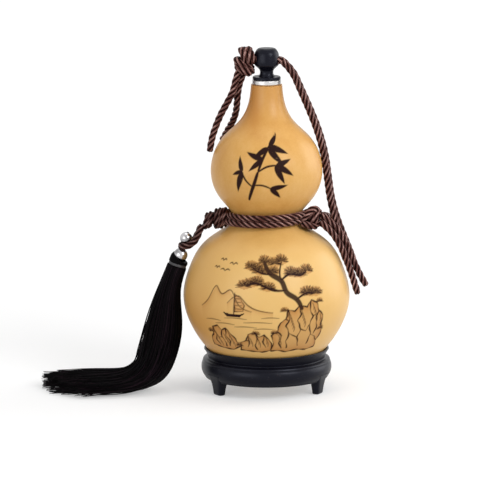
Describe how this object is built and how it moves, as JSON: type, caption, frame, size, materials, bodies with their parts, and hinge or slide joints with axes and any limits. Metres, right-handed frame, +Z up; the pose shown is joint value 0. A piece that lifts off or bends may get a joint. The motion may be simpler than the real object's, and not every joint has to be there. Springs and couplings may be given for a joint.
{
  "type": "gourd water bottle",
  "caption": "Dried gourd water bottle on a footed black stand, with a corded pull-out stopper, a waist cord and a beaded tassel.",
  "frame": {"origin": "on the floor under the axis of the gourd and the stand", "axes": "+Z up along the gourd's axis, -Y to the front where the waist cord's tails hang, +X to the right with the leash"},
  "size_m": [0.1961, 0.0998, 0.2083],
  "materials": {
    "black_lacquer": "satin black lacquer",
    "gourd_rind": "polished rind, satin",
    "wax": "wax coat",
    "bright_metal": "bright",
    "black_knob": "satin black",
    "seal": "soft seal",
    "brown_cord": "twisted silky cord",
    "black_thread": "silky thread",
    "bead_metal": "mirror"
  },
  "bodies": {
    "stand": {"stand_ring": "black_lacquer", "stand_foot_right": "black_lacquer", "stand_foot_back": "black_lacquer", "stand_foot_left": "black_lacquer"},
    "gourd": {"gourd_shell": "gourd_rind", "wax_coat": "wax", "mouth_collar": "bright_metal", "waist_wrap": "brown_cord", "waist_knot_right": "brown_cord", "waist_tail_inner": "brown_cord", "waist_tail_outer": "brown_cord", "waist_knot_left": "brown_cord", "leash_front": "brown_cord", "leash_back": "brown_cord"},
    "stopper": {"stopper_knob": "black_knob", "upper_seal_ring": "seal", "lower_seal_ring": "seal", "knob_cord_front": "brown_cord", "knob_cord_back": "brown_cord", "stopper_knot": "brown_cord", "stopper_tail_left": "brown_cord", "stopper_tail_back": "brown_cord"},
    "tassel": {"tassel_loop": "brown_cord", "tassel_thread": "black_thread", "tassel_head": "black_thread", "tassel_binding": "black_thread", "tassel_skirt": "black_thread"},
    "lower_bead": {"bead_lower": "bead_metal"},
    "upper_bead": {"bead_upper": "bead_metal"}
  },
  "joints": [
    {"name": "gourd_lift", "type": "slide", "parent": "stand", "child": "gourd", "axis": [0, 0, 1], "range_m": [0, 0.06]},
    {"name": "stopper_pull", "type": "slide", "parent": "gourd", "child": "stopper", "axis": [0, 0, 1], "range_m": [0, 0.025], "deforming": ["leash_front", "leash_back"]},
    {"name": "tassel_swing", "type": "hinge", "parent": "gourd", "child": "tassel", "pos_m": [-0.0389, -0.0035, 0.1006], "axis": [0, 1, 0], "range_deg": [0, 50]},
    {"name": "lower_bead_spin", "type": "hinge", "parent": "tassel", "child": "lower_bead", "pos_m": [-0.0515, -0.004, 0.0826], "axis": [0.309, 0, 0.9511], "continuous": true},
    {"name": "upper_bead_spin", "type": "hinge", "parent": "tassel", "child": "upper_bead", "pos_m": [-0.04819, -0.004, 0.09278], "axis": [0.309, 0, 0.9511], "continuous": true}
  ]
}
